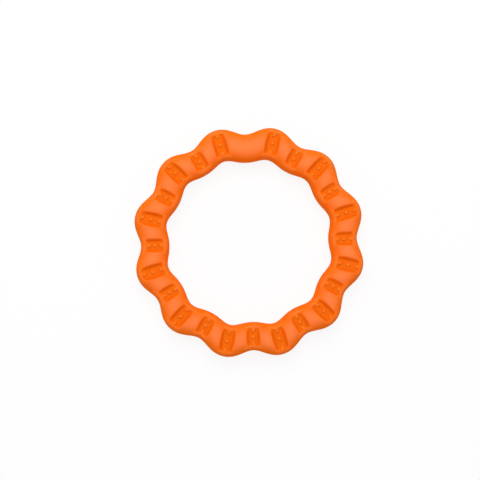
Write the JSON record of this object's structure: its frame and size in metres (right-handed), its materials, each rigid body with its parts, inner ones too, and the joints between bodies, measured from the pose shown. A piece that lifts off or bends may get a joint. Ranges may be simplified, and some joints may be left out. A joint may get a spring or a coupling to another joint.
{
  "type": "chew ring",
  "caption": "Wavy rubber chew ring for a dog: a round tube swung into lobes and necks, with nubbed pockets in its crowns and a bare neck.",
  "frame": {"origin": "middle of the ring on the mould's parting plane, which is also the middle of the bounding box", "axes": "+Z is the ring's axis, upward as it lies; +Y runs to the neck that has no pockets; +X is to the right seen from above with that neck at the top"},
  "size_m": [0.1458, 0.1458, 0.0204],
  "materials": {
    "rubber": "satin, smooth moulded"
  },
  "bodies": {
    "root": {"upper_half": "rubber", "lower_half": "rubber"}
  },
  "joints": []
}
